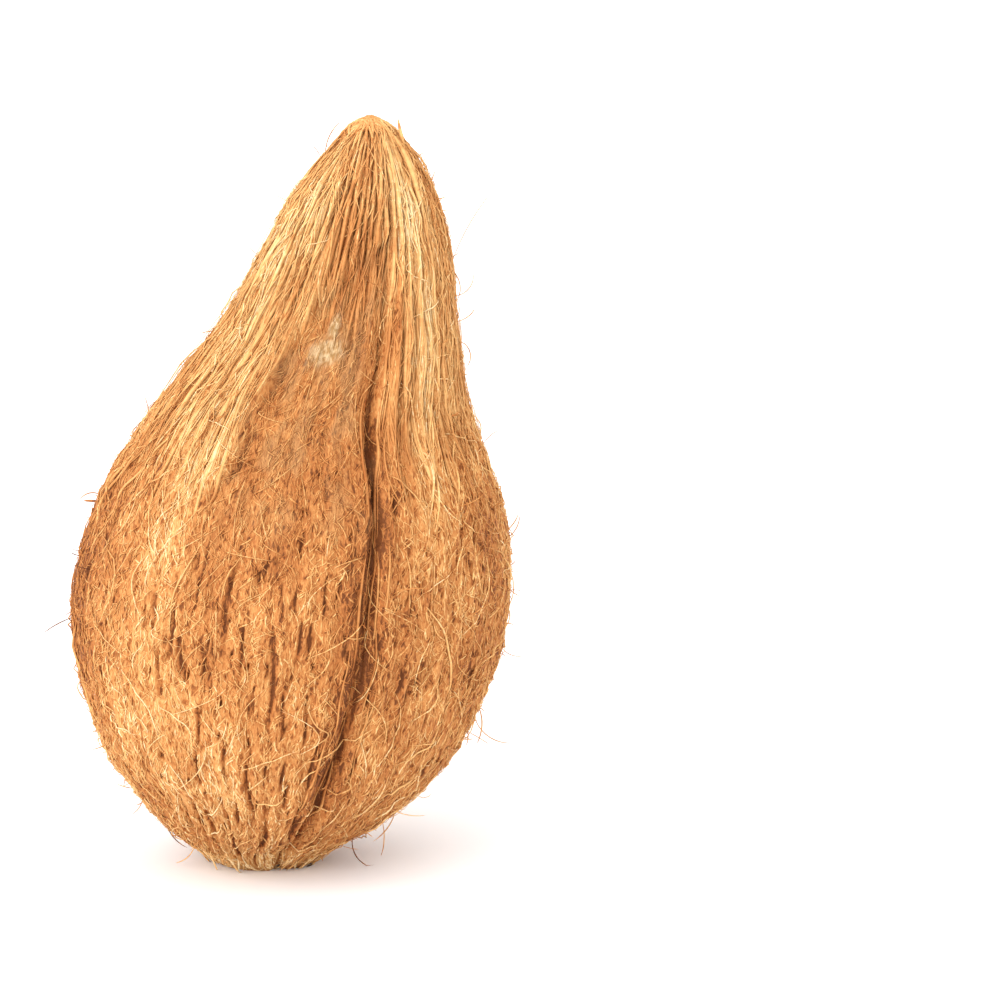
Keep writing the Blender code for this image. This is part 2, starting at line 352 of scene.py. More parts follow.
def seam_turn(height):
    """Where the front seam stands at a height."""
    drift = SEAM_DRIFT * smooth_step(0.0, SEAM_DRIFT_TOP, height)
    return SEAM_TURN + drift + SEAM_BEND * smooth_step(*SEAM_BEND_RISE, height)


def seams_and_faces(turn, climb, height, half):
    """How deep the seams cut, how much painted shade they get, and how much a point belongs to a
    bare face, both from 0 to 1. A seam is a smooth trough with a sharp one in its middle, both
    painted darker as shade, and a painted shade on its left, where its bank faces away from the key
    light;
    a face's left edge wavers with noise."""
    body = smooth_step(SPOT_RADIUS, 2 * SPOT_RADIUS, half)
    fade = 1 - smooth_step(*SEAM_TOP, height)
    depth = between(SEAM_DEPTH, body) * fade
    closing = np.clip((height - FACE_APEX[0]) / (FACE_APEX[1] - FACE_APEX[0]), 0.0, 1.0)
    start = -FACE_TURN * (1 - closing**FACE_APEX_POWER)
    start = start + FACE_RAGGED * lattice_noise(turn, climb, *FACE_NOISE)
    # Painted shade: the valley on the seam's left bank, which faces away from the key light, and
    # the trough and line, darkened as recesses where shade falls
    valley_shade, trough_shade, line_shade = SEAM_SHADES
    valley_shade = valley_shade * smooth_step(*VALLEY_FOOT, height) * (1 - smooth_step(*VALLEY_TOP, height))
    # How much of the trough's and line's painted shade shows: none at the foot, fading out near the
    # top
    shown = smooth_step(*SEAM_FOOT, height) * (1 - smooth_step(*LINE_TOP, height))
    ragged = SEAM_RAGGED * body * lattice_noise(turn, climb, *SEAM_NOISE)
    cut, groove_shade, bare = np.zeros_like(turn), np.zeros_like(turn), np.zeros_like(turn)
    for third in range(3):
        beside = turn_past(turn, seam_turn(height) + third * THIRD)
        metres = beside * half + ragged
        trough = np.clip(1 - (metres / between(SEAM_HALF_WIDTH, body)) ** 2, 0.0, 1.0) ** 2
        sharp = np.clip(1 - (metres / between(LINE_HALF_WIDTH, body)) ** 4, 0.0, 1.0)
        valley = np.clip(1 - ((metres + VALLEY_LEFT) / VALLEY_HALF_WIDTH) ** 2, 0.0, 1.0) ** 2
        cut += depth * between((trough, sharp), LINE_SHARE)
        groove_shade += valley_shade * valley + shown * (trough_shade * trough + line_shade * sharp)
        after_left = smooth_step(start - FACE_EDGE, start + FACE_EDGE, beside)
        bare += after_left * (1 - smooth_step(-FACE_EDGE, FACE_EDGE, beside))
    return cut, groove_shade, np.clip(bare, 0.0, 1.0) * smooth_step(*FACE_FADE, height)


def named_slits():
    """Turn, climb, half length and half width of the slits of the table, on all three thirds."""
    rows = []
    for third in range(3):
        for degrees, height, length, width in SLITS:
            turn = math.radians(degrees) + THIRD * third + SLIT_SHIFT_TURN * (third % 2)
            climb = climb_at(height * MM) - SLIT_SHIFT_DOWN * third
            rows.append((turn, climb, SLIT_LENGTHEN * length * MM / 2, width * MM / 2))
    return rows


NAMED_SLITS = named_slits()


def slits_near(turn, climb):
    """Turn, climb, half length and half width of the slits that may reach each point: the named
    ones, then those drawn in the point's own cell and the eight round it, layer by layer."""
    yield from NAMED_SLITS
    for cells_round, cell, lengths, widths, heights, share, seed in SLIT_LAYERS:
        rows = int(TIP_CLIMB / cell) + 2
        draws = np.random.default_rng(seed).uniform(0, 1, (5, rows, cells_round))
        column = np.floor((turn / FULL_TURN) % 1.0 * cells_round).astype(int)
        row = np.floor(climb / cell).astype(int)
        bottom, top = climb_at(np.array(heights))
        for down in (-1, 0, 1):
            for aside in (-1, 0, 1):
                near_row = np.clip(row + down, 0, rows - 1)
                place = draws[:, near_row, (column + aside) % cells_round]
                slit_turn = (column + aside + place[0]) * FULL_TURN / cells_round
                slit_climb = (near_row + place[1]) * cell
                there = (place[4] < share) & (slit_climb > bottom) & (slit_climb < top)
                half_width = np.where(there, between(widths, place[3]) / 2, TINY)
                yield slit_turn, slit_climb, between(lengths, place[2]) / 2, half_width


def slit_cut(turn, climb, half):
    """How far the slits open at a point, from 0 to 1: the root of one less the squares of the
    distances across and along each slit, both counted in its half sizes. A slit bends a little."""
    cut = np.zeros_like(turn)
    for slit_turn, slit_climb, half_length, half_width in slits_near(turn, climb):
        up = (climb - slit_climb) / half_length
        bend = SLIT_BEND * half_width * np.sin(SLIT_WAVE * up + SLIT_PHASE * slit_turn)
        across = (turn_past(turn, slit_turn) * half + bend) / half_width
        cut = np.maximum(cut, 1 - across**2 - up**2)
    return np.sqrt(cut)


def scar_of(turn, climb, half):
    """How much a point belongs to the pale patch, from 0 to 1."""
    scar = np.zeros_like(turn)
    for lobe_turn, height, wide, high in SCAR_LOBES:
        across = turn_past(turn, lobe_turn) * half / wide
        up = (climb - climb_at(height)) / high
        scar = np.maximum(scar, 1 - smooth_step(*SCAR_EDGE, np.hypot(across, up)))
    return scar


def pale_patches_and_light_of(turn, climb, half):
    """How much paler a point is by the soft patches, partly the fibre's own tone and partly painted
    light: each adds its change times the square of one less the squares of the distances across
    and up, counted in its half sizes."""
    shade = np.zeros_like(turn)
    for side in range(2):
        for degrees, height, wide, high, change in PATCHES:
            middle = math.radians(degrees) + side * (math.pi + PATCH_SHIFT_TURN)
            across = turn_past(turn, middle) * half / (wide * MM)
            up = (climb - climb_at(height * MM)) / (high * MM)
            shade += change * np.clip(1 - across**2 - up**2, 0.0, 1.0) ** 2
    return shade


def coat_shape(turn, climb):
    """The coat's relief in metres, outwards being positive, and its masks from 0 to 1: how much
    painted shade its seams and slits get, how bare, how much it belongs to the tuft, and to the
    pale patch. The mask of pale patches and painted light tells how much paler it is, from -1 to 1."""
    height, _, half = profile(climb)
    cut, groove_shade, bare = seams_and_faces(turn, climb, height, half)
    scar = scar_of(turn, climb, half)
    tuft = smooth_step(*STRAND_FADE, height)
    slit = slit_cut(turn, climb, half) * between((1.0, TUFT_SLITS), tuft)
    ease = smooth_step(0.0, EASE_RADIUS, half) * smooth_step(0.0, EASE_HEIGHT, height)
    wander = STRAND_WANDER * lattice_noise(turn, climb, *WANDER_NOISE)
    ridge = between((COAT_STRAND, TUFT_STRAND), tuft) * (1 - between((0.0, 1 - BARE_STRAND), bare))
    strands = ridge * np.cos(STRANDS_ROUND * turn + wander)
    lumps = np.zeros_like(strands)
    for *noise, rise in LUMPS:
        lumps += rise * lattice_noise(turn, climb, *noise)
    knobs = SCAR_LUMP * scar * (1 + lattice_noise(turn, climb, *KNOB_NOISE))
    relief = ease * (strands + lumps + knobs - FACE_DEPTH * bare - SLIT_DEPTH * slit) - cut
    masks = {
        # Painted shade of the seams and of the slits
        "hollow": np.minimum(np.minimum(groove_shade, GROOVE_SHADE_MOST) + slit, 1.0),
        "bare": bare,
        "tuft": tuft * (1 - bare * (1 - smooth_step(*FACE_COVERED, height))),
        "scar": scar,
        # Paler and darker patches, partly the fibre's own tone and partly painted light
        "shade": pale_patches_and_light_of(turn, climb, half),
    }
    return relief, masks


def coat_point(turn, climb, lift=0.0):
    """Points that stand lift above the finished coat, the outward directions there, and the
    masks."""
    relief, masks = coat_shape(turn, climb)
    normal = outward(turn, climb)
    return smooth_coat(turn, climb) + normal * (relief + lift)[..., None], normal, masks


def grain_of(turn, climb):
    """A place for the materials' patterns to read: a tube of the coat's widest half width, so
    that a pattern stretched along it follows the fibres and narrows with them to the tip."""
    widest = HALVES.max()
    return np.stack([widest * np.sin(turn), -widest * np.cos(turn), climb], axis=-1)


def build_mesh(name, points, triangles, corners_uv, attributes):
    """An object of that name at the origin, from whole arrays: points, triangles, the place of
    each triangle's corners in the OFBake map, and one number or vector a point for each named
    attribute."""
    mesh = bpy.data.meshes.new(name)
    mesh.vertices.add(len(points))
    mesh.vertices.foreach_set("co", points.astype(np.float32).ravel())
    mesh.loops.add(triangles.size)
    mesh.loops.foreach_set("vertex_index", triangles.astype(np.int32).ravel())
    mesh.polygons.add(len(triangles))
    mesh.polygons.foreach_set("loop_start", np.arange(0, triangles.size, 3, dtype=np.int32))
    mesh.update(calc_edges=True)
    layer = mesh.uv_layers.new(name="OFBake")
    layer.data.foreach_set("uv", corners_uv.astype(np.float32).ravel())
    for key, values in attributes.items():
        vector = values.ndim == 2
        attribute = mesh.attributes.new(key, "FLOAT_VECTOR" if vector else "FLOAT", "POINT")
        field = "vector" if vector else "value"
        attribute.data.foreach_set(field, values.astype(np.float32).ravel())
    mesh.validate()
    mesh.shade_smooth()
    piece = bpy.data.objects.new(name, mesh)
    bpy.context.scene.collection.objects.link(piece)
    return piece


def closed_skin(rings, columns):
    """Triangles of a closed skin, and the ring and column that each of their corners lies at.
    Its points are a first one, the rings one after another, and a last one. The first counts as
    ring 0, and at both a corner lies halfway between two columns. Each four points of two rings
    make two triangles, and each two points of an end ring make one with the end point."""
    ring, column = np.meshgrid(np.arange(rings - 1), np.arange(columns), indexing="ij")
    here = 1 + ring * columns + column
    beside = 1 + ring * columns + (column + 1) % columns
    near, far, following = ring + 1, ring + 2, column + 1
    lower = (here, beside, beside + columns), (near, near, far), (column, following, following)
    upper = (here, beside + columns, here + columns), (near, far, far), (column, following, column)

    here, beside, column, following = here[0], beside[0], column[0], following[0]
    middle = column + 0.5
    final = (rings - 1) * columns
    base = (0, beside, here), (0, 1, 1), (middle, following, column)
    last = (final + here, final + beside, final + columns + 1)
    top = last, (rings, rings, rings + 1), (column, following, middle)

    corners = []
    for rows in (lower, upper, base, top):
        spread = np.broadcast_arrays(*rows[0], *rows[1], *rows[2])
        corners.append(np.stack(spread, axis=-1).reshape(-1, 3, 3))
    corners = np.concatenate(corners).swapaxes(1, 2)
    return corners[..., 0].astype(int), corners[..., 1:]


def husk_grid():
    """The closed grid of the coat, from the middle of the flat spot to the tip: turn, climb,
    triangles and the corners' UV places, the share of a turn and the share of the climb."""
    spot = np.linspace(0.0, SPOT_RADIUS, SPOT_RINGS + 1)[1:]
    rise = np.linspace(SPOT_RADIUS, TIP_CLIMB, ROWS - SPOT_RINGS + 1)[1:-1]
    rings = np.concatenate([spot, rise])
    turn, climb = np.meshgrid(np.arange(COLUMNS) * FULL_TURN / COLUMNS, rings)
    turn = np.concatenate([[0.0], turn.ravel(), [0.0]])
    climb = np.concatenate([[0.0], climb.ravel(), [TIP_CLIMB]])
    triangles, places = closed_skin(len(rings), COLUMNS)
    levels = np.concatenate([[0.0], rings, [TIP_CLIMB]]) / TIP_CLIMB
    up = levels[places[..., 0].astype(int)]
    return turn, climb, triangles, np.stack([places[..., 1] / COLUMNS, up], axis=-1)


def fibre_tubes(name, finish, lines, width, flat, tone):
    """A piece of closed three-sided tubes, one along each line: a ridge on the outer side and
    two edges below, carried along the line and tapered to its two end points. lines holds the
    paths, the outward directions and the attributes; width and tone are one number a fibre, and
    flat is the thickness as a share of the width."""
    paths, normals, attributes = lines
    count, steps, _ = paths.shape
    rings = steps - 2
    ahead = unit(np.gradient(paths, axis=1))
    side = unit(np.cross(ahead, normals))
    above = np.cross(side, ahead)
    taper = np.sqrt(np.sin(math.pi * np.arange(1, steps - 1) / (steps - 1)))
    half = 0.5 * width[:, None, None] * taper[None, :, None]
    rise = 0.5 * (flat * width)[:, None, None] * taper[None, :, None]
    centre, side, above = paths[:, 1:-1], side[:, 1:-1], above[:, 1:-1]
    ridge = centre + rise * above
    left = centre - half * side - rise * above
    right = centre + half * side - rise * above
    ring_points = np.stack([ridge, left, right], axis=2).reshape(count, rings * SIDES, 3)
    points = np.concatenate([paths[:, :1], ring_points, paths[:, -1:]], axis=1)
    points[..., 2] = np.maximum(points[..., 2], FLOOR_CLEAR)
    template, corner_places = closed_skin(rings, SIDES)
    size = rings * SIDES + 2
    triangles = (template[None] + (np.arange(count) * size)[:, None, None]).reshape(-1, 3)
    across = math.ceil(math.sqrt(count / CELL_STRETCH))
    down = math.ceil(count / across)
    cell = np.stack([np.arange(count) % across, np.arange(count) // across], -1)
    inset = UV_INSET + (1 - 2 * UV_INSET) * corner_places / (rings + 1, SIDES)
    uv = (cell[:, None, None, :] + inset[None]) / (across, down)
    attributes = {**attributes, "tone": np.repeat(tone[:, None], steps, axis=1)}
    spread = {}
    for key, values in attributes.items():
        inner = np.repeat(values[:, 1:-1], SIDES, axis=1)
        whole = np.concatenate([values[:, :1], inner, values[:, -1:]], axis=1)
        spread[key] = whole.reshape(-1, *values.shape[2:])
    piece = build_mesh(name, points.reshape(-1, 3), triangles, uv.reshape(-1, 2), spread)
    finish_piece(piece, finish)


def spread_places(count, low, high, draw):
    """Turns and climbs spread evenly over the coat between two heights: each place is a golden
    turn past the last, and takes an equal share of the area going up. Both are jittered."""
    area = np.interp(climb_at(np.array([low, high])), CLIMB_STEPS, AREA_STEPS)
    number = np.arange(count)
    shares = area[0] + (area[1] - area[0]) * (number + draw.uniform(0, 1, count)) / count
    turn = (GOLDEN_TURN * number + draw.normal(0, PLACE_JITTER, count)) % FULL_TURN
    return turn, np.interp(shares, AREA_STEPS, CLIMB_STEPS)


def raise_lines(turns, climbs, lift):
    """Lines that follow (turns, climbs) at that lift above the coat, as fibre_tubes takes them."""
    places, normals, masks = coat_point(turns, climbs, lift)
    return places, normals, {**masks, "grain": grain_of(turns, climbs)}


def sink_ends(t):
    """1 at either end of a fibre and near 0 between, for t from -0.5 to 0.5: a fourth power."""
    return (2 * np.abs(t)) ** 4


def lay_fibres(turn, climb, length, slant, bow, arch, sunk, steps):
    """Lines over the coat through (turn, climb). Each runs along the grain, turned by slant and
    bowed sideways, and lifts as a half wave of height arch from ends that are sunk under the
    surface."""
    t = np.linspace(-0.5, 0.5, steps)[None, :]
    reach = 0.5 * length * np.abs(np.cos(slant))
    lowest, highest = LAID_FOOT + reach, TIP_CLIMB - LAID_TOP - reach
    climb = np.clip(climb, np.minimum(lowest, highest), highest)
    half = np.maximum(np.interp(climb, CLIMB_STEPS, STEP_HALVES), LAID_NARROWEST)
    onward = length[:, None] * t * np.cos(slant)[:, None]
    sideways = length[:, None] * t * np.sin(slant)[:, None] + bow[:, None] * (4 * t * t - 0.5)
    climbs = climb[:, None] + onward
    turns = turn[:, None] + sideways / half[:, None]
    lift = arch[:, None] * np.cos(math.pi * t) - sunk * sink_ends(t)
    return raise_lines(turns, climbs, lift)


def guide_fibres(routes, arch, sunk, steps):
    """Lines through chosen places: each route is a list of (turn, climb), followed by a smooth
    curve through them, with arch and ends as in lay_fibres."""
    t = np.linspace(-0.5, 0.5, steps)
    turns, climbs = [], []
    for route in routes:
        turn, climb = np.array(route, float).T
        knots = np.linspace(-0.5, 0.5, len(turn))
        turns.append(along(knots, turn, t))
        climbs.append(along(knots, climb, t))
    lift = arch * np.cos(math.pi * t) - sunk * sink_ends(t)
    lift = np.broadcast_to(lift, (len(routes), steps))
    return raise_lines(np.array(turns), np.array(climbs), lift)


def cross_tip(angle, offset, behind, ahead, arch, steps):
    """Straight lines, seen from above, that pass the tip at a distance offset in the direction
    angle, from behind to ahead. Their reach from the tip's middle gives their climb."""
    t = np.linspace(0.0, 1.0, steps)[None, :]
    onward = -behind[:, None] + (behind + ahead)[:, None] * t
    cosine, sine = np.cos(angle)[:, None], np.sin(angle)[:, None]
    across = offset[:, None] * cosine - onward * sine
    deep = offset[:, None] * sine + onward * cosine
    climbs = climb_near_tip(np.hypot(across, deep))
    lift = arch[:, None] * np.sin(math.pi * t) - TUFT_SUNK * sink_ends(t - 0.5)
    return raise_lines(np.arctan2(across, -deep), climbs, lift)


def spring_off(turn, climb, length, lean, curl, swing, steps):
    """Lines that leave the coat. Each starts just under it at the angle lean, from the upward
    grain towards the outside, and turns by curl in that plane and by swing sideways as it goes:
    its places are the running sum of its directions."""
    t = np.linspace(0.0, 1.0, steps)[None, :]
    root, normal, masks = coat_point(turn, climb, np.full_like(turn, -ROOT_DEPTH))
    side, up = slopes_of(turn, climb)
    angle = lean[:, None] + curl[:, None] * t
    aside = (swing[:, None] * t)[..., None]
    forward = np.cos(angle)[..., None] * up[:, None] + np.sin(angle)[..., None] * normal[:, None]
    direction = forward * np.cos(aside) + side[:, None] * np.sin(aside)
    moved = np.cumsum(direction, axis=1) - direction[:, :1]
    paths = root[:, None] + moved * (length / (steps - 1))[:, None, None]
    normals = np.broadcast_to(side[:, None], paths.shape)
    repeated = {key: np.repeat(values[:, None], steps, axis=1) for key, values in masks.items()}
    climbs = climb[:, None] + length[:, None] * t
    repeated["grain"] = grain_of(np.repeat(turn[:, None], steps, axis=1), climbs)
    return paths, normals, repeated


def count_setting(name, description, default):
    """A number of fibres."""
    return bpy.props.IntProperty(name=name, description=description, default=default, min=0)


def colour_setting(name, description, default):
    """A colour."""
    fields = {"subtype": "COLOR", "size": 3, "min": 0.0, "max": 1.0}
    return bpy.props.FloatVectorProperty(
        name=name, description=description, default=default, **fields
    )


def length_setting(name, description, default, least):
    """A length in metres."""
    return bpy.props.FloatProperty(
        name=name, description=description, default=default, min=least, unit="LENGTH"
    )


def strength_setting(name, description, default):
    """The strength of a light."""
    return bpy.props.FloatProperty(name=name, description=description, default=default, min=0.0)


class CoconutSettings(bpy.types.PropertyGroup):
    """Sizes and colours of the coat and its fibres."""

    felt_count: count_setting(
        "Felt fibres", "Short fibres in each of the two layers of the matted coat", 10800
    )
    coat_count: count_setting("Coat fibres", "Fine fibres that lie loose on the coat", 4500)
    rope_count: count_setting("Tuft ropes", "Thick strands of the tuft", 1500)
    strand_count: count_setting("Tuft strands", "Finer strands over the tuft's ropes", 3600)
    tip_count: count_setting("Tip strands", "Strands that cross over the tip of the tuft", 240)
    stray_count: count_setting("Stray fibres", "Long curled fibres that lie on the coat", 420)
    fuzz_count: count_setting("Fuzz", "Short hairs that stand off the coat", 2200)
    fibre_width: length_setting("Fibre width", "Width of one fine fibre", 0.00034, 0.0001)
    rope_width: length_setting("Rope width", "Width of one thick tuft strand", 0.0011, 0.0002)
    # The darkest colour of the row: dark fibre, and the painted shade of pits, slits and seams
    deep_and_shade_colour: colour_setting(
        "Hollows", "Colour down in the pits, slits and seams", (0.15, 0.043, 0.010)
    )
    rust_colour: colour_setting(
        "Under-coat", "Colour of the coat between the fibres", (0.42, 0.140, 0.034)
    )
    mid_colour: colour_setting("Fibre", "Colour of most of the fibre", (0.60, 0.262, 0.080))
    light_colour: colour_setting("Light fibre", "Colour of dry, clean fibre", (0.80, 0.47, 0.18))
    cream_colour: colour_setting("Palest fibre", "Colour of the palest strands", (0.92, 0.71, 0.40))
    weathered_colour: colour_setting(
        "Weathered", "Greyish colour of the clouds on the bare faces", (0.42, 0.25, 0.11)
    )
    sun_strength: strength_setting("Key light", "Wide soft light from the upper left", 1.2)
    fill_strength: strength_setting("Low light", "Wide soft light from the front, low down", 1.4)
    sky_strength: strength_setting("Surround", "White light from all round", 1.45)
    camera_distance: length_setting(
        "Camera distance", "From the camera to the coconut's middle line", 1.3, 0.3
    )


def settings():
    """The coconut's settings in the scene that is open."""
    return bpy.context.scene.coconut


def add_node(tree, kind, inputs=None, **fields):
    """A shader node with its fields set, and its sockets set or linked."""
    node = tree.nodes.new(kind)
    for key, value in fields.items():
        setattr(node, key, value)
    for key, value in (inputs or {}).items():
        if isinstance(value, bpy.types.NodeSocket):
            tree.links.new(value, node.inputs[key])
        else:
            node.inputs[key].default_value = value
    return node


def attribute(tree, name, output="Fac"):
    """The socket of a number, or with the output Vector a place, that the mesh holds at each
    point."""
    return add_node(tree, "ShaderNodeAttribute", attribute_name=name).outputs[output]


# Patterns of the finishes: width of their spots across the fibres and length along them, detail
# and roughness of the noise, the two values between which it is spread, and what it becomes there
PATTERNS = {
    "patches": (0.012, 0.020, 3.0, 0.5, 0.30, 0.70, 0.0, 1.0),
    "grains": (0.0006, 0.0018, 2.0, 0.7, 0.30, 0.70, 0.0, 1.0),
    "streaks": (0.0011, 0.010, 2.0, 0.5, 0.38, 0.62, 0.55, 1.35),
    # Spots painted darker as the shade of small pits, with no geometry under them
    "pit_shade": (0.0011, 0.0026, 1.5, 0.6, 0.54, 0.64, 0.0, 1.0),
    "clouds": (0.009, 0.014, 3.0, 0.6, 0.44, 0.62, 0.0, 0.34),
    "speckles": (0.0016, 0.0018, 2.0, 0.5, 0.36, 0.64, 0.0, 1.0),
}


def pattern(tree, grain, name):
    """A pattern of the table, stretched along the fibres: the plain noise from 0 to 1, and the
    same with a smooth change between the table's values and none outside them."""
    across, up, detail, roughness, low, high, start, end = PATTERNS[name]
    scale = (1 / across, 1 / across, 1 / up)
    placed = add_node(tree, "ShaderNodeMapping", {"Vector": grain, "Scale": scale})
    fields = {"Vector": placed.outputs[0], "Scale": 1.0, "Detail": detail, "Roughness": roughness}
    noise = add_node(tree, "ShaderNodeTexNoise", fields).outputs["Fac"]
    fields = {"Value": noise, "From Min": low, "From Max": high, "To Min": start, "To Max": end}
    spread = add_node(tree, "ShaderNodeMapRange", fields, interpolation_type="SMOOTHSTEP")
    return noise, spread.outputs[0]


def weighted(tree, total, value, weight):
    """The total, plus the value times its weight."""
    inputs = {0: value, 1: weight, 2: total}
    return add_node(tree, "ShaderNodeMath", inputs, operation="MULTIPLY_ADD").outputs[0]


def palette(tree, value, stops):
    """A colour read from a row of (place, colour) stops."""
    node = add_node(tree, "ShaderNodeValToRGB", {"Fac": value})
    elements = node.color_ramp.elements
    while len(elements) < len(stops):
        elements.new(0.5)
    for element, (place, colour) in zip(elements, stops):
        element.position = place
        element.color = (*colour, 1.0)
    return node.outputs["Color"]


def blend_colour(tree, factor, first, second):
    """The first colour, mixed with the second as far as the factor says."""
    node = tree.nodes.new("ShaderNodeMix")
    node.data_type = "RGBA"
    for key, value in ((0, factor), (6, first), (7, second)):
        if isinstance(value, bpy.types.NodeSocket):
            tree.links.new(value, node.inputs[key])
        else:
            node.inputs[key].default_value = (*value, 1.0)
    return node.outputs[2]


# Finishes: the lightness where all is at its middle, how much darker the painted shade of pits
# makes a place, the height of the bump, and the weights of patches, grains, tone, tuft, bare, the
# painted shade of seams and slits, and the pale patches with their painted light
FINISHES = {
    "coir_coat": (0.42, 0.30, 0.0007, 0.14, 0.30, 0.10, 0.16, -0.03, -0.54, 1.0),
    "coir_fibres": (0.66, 0.22, 0.0, 0.16, 0.24, 0.34, 0.08, -0.14, -0.52, 1.0),
    "coir_tuft": (0.595, 0.06, 0.0, 0.18, 0.12, 0.28, 0.06, -0.12, -0.40, 1.0),
}
CENTRED = ("patches", "grains", "tone")
COLOUR_PLACES = (0.0, 0.28, 0.55, 0.80, 1.0)
SCAR_COLOURS = ((0.38, 0.22, 0.08), (0.76, 0.56, 0.32))
SCAR_SHARE = 0.75
COIR_ROUGHNESS = 0.65
COIR_GLOSS = 0.2
BUMP_STRENGTH = 0.9


def coir_material(finish):
    """Dry coconut fibre in one of the finishes, made when it is first asked for. A lightness is
    summed from soft patches, grains, the fibre's own tone and the masks, each less its middle
    and times its weight, so that it takes the painted shade of pits, seams and slits and the
    painted light of the pale patches, and is read on a row of five colours from the darkest,
    which the painted shade reaches, to the palest fibre's. Bare faces are greyed in soft
    clouds, and the pale patch has its own two colours."""
    if finish in bpy.data.materials:
        return bpy.data.materials[finish]
    look = settings()
    base, pit_shade, bump, *weights = FINISHES[finish]
    material = bpy.data.materials.new(finish)
    material.use_nodes = True
    tree = material.node_tree
    shader = tree.nodes["Principled BSDF"]
    grain = attribute(tree, "grain", "Vector")
    grain_noise, grains = pattern(tree, grain, "grains")
    _, patches = pattern(tree, grain, "patches")
    _, streaks = pattern(tree, grain, "streaks")
    values = {"patches": patches, "grains": grains}
    for key in ("tone", "tuft", "bare", "hollow", "shade"):
        values[key] = attribute(tree, key)
    # The painted shade of seams and slits, broken into streaks
    values["hollow"] = weighted(tree, 0.0, values["hollow"], streaks)
    weights = dict(zip(values, weights))
    lightness = base - sum(0.5 * weights[key] for key in CENTRED)
    for key, weight in weights.items():
        lightness = weighted(tree, lightness, values[key], weight)
    # Painted shade of small pits: a noise pattern that darkens the lightness
    lightness = weighted(tree, lightness, pattern(tree, grain, "pit_shade")[1], -pit_shade)
    row = (look.deep_and_shade_colour, look.rust_colour, look.mid_colour, look.light_colour)
    stops = tuple(zip(COLOUR_PLACES, (*row, look.cream_colour)))
    colour = palette(tree, lightness, stops)

    _, clouds = pattern(tree, grain, "clouds")
    weathered = weighted(tree, 0.0, values["bare"], clouds)
    colour = blend_colour(tree, weathered, colour, look.weathered_colour)

    _, speckles = pattern(tree, grain, "speckles")
    scarred = palette(tree, speckles, tuple(enumerate(SCAR_COLOURS)))
    scar_share = weighted(tree, 0.0, attribute(tree, "scar"), SCAR_SHARE)
    colour = blend_colour(tree, scar_share, colour, scarred)

    tree.links.new(colour, shader.inputs["Base Color"])
    shader.inputs["Roughness"].default_value = COIR_ROUGHNESS
    shader.inputs["Specular IOR Level"].default_value = COIR_GLOSS
    if bump:
        fields = {"Height": grain_noise, "Strength": BUMP_STRENGTH, "Distance": bump}
        rough = add_node(tree, "ShaderNodeBump", fields)
        tree.links.new(rough.outputs[0], shader.inputs["Normal"])
    return material


def keep_clear(lines, most):
    """Which of the lines cross no place where the painted shade of seams and slits passes most, and
    those lines.
    """
    paths, normals, masks = lines
    clear = masks["hollow"].max(axis=1) < most
    return clear, (paths[clear], normals[clear], {key: masks[key][clear] for key in masks})


def finish_piece(piece, finish):
    """Gives a piece its material and its body."""
    piece.data.materials.append(coir_material(finish))
    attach(piece, "root")


class COCONUT_OT_husk(bpy.types.Operator):
    """Add the matted coat with its seams, bare faces and slits, in place of the plain solid"""

    bl_idname = "coconut.husk"
    bl_label = "Coat"

    def execute(self, context):
        turn, climb, triangles, corners = husk_grid()
        places, _, masks = coat_point(turn, climb)
        places[:, 2] = np.maximum(places[:, 2], 0.0)
        tone = 0.5 + 0.5 * lattice_noise(turn, climb, *TONE_NOISE)
        attributes = {**masks, "grain": grain_of(turn, climb), "tone": tone}
        husk = build_mesh("husk", places, triangles, corners, attributes)
        finish_piece(husk, "coir_coat")
        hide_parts("coconut")
        return {"FINISHED"}


# Kinds of tuft strand: name, setting of the count, seed, width as a share of a rope's, ends of
# the length, steps, arch, slant, sideways bow, and tone. Ribbons lie only on the pale patches
TUFT_KINDS = (
    ("tuft_ropes", "rope_count", 50, 0.95, (0.020, 0.054), 12, 0.0003, 0.050, 0.0012, 0.50),
    ("tuft_strands", "strand_count", 51, 0.40, (0.012, 0.038), 9, 0.0009, 0.150, 0.0024, 0.58),
    ("tuft_ribbons", "rope_count", 52, 1.4, (0.026, 0.050), 12, 0.0006, 0.040, 0.0012, 0.56),
)
TUFT_HEIGHTS = (0.090, HEIGHT - 0.006)
STRANDS_FROM = (0.40, 1.0)
RIBBON_SHADE = 0.04
RIBBON_SHARE = 0.10
ROPE_FLAT = 0.35
BUNDLE_TONE = 0.26
TIP_SEED = 55

# Strands that cross a place whose painted shade of seams and slits passes this are left out, so
# that the seams stay open
SEAM_CLEAR = 0.40


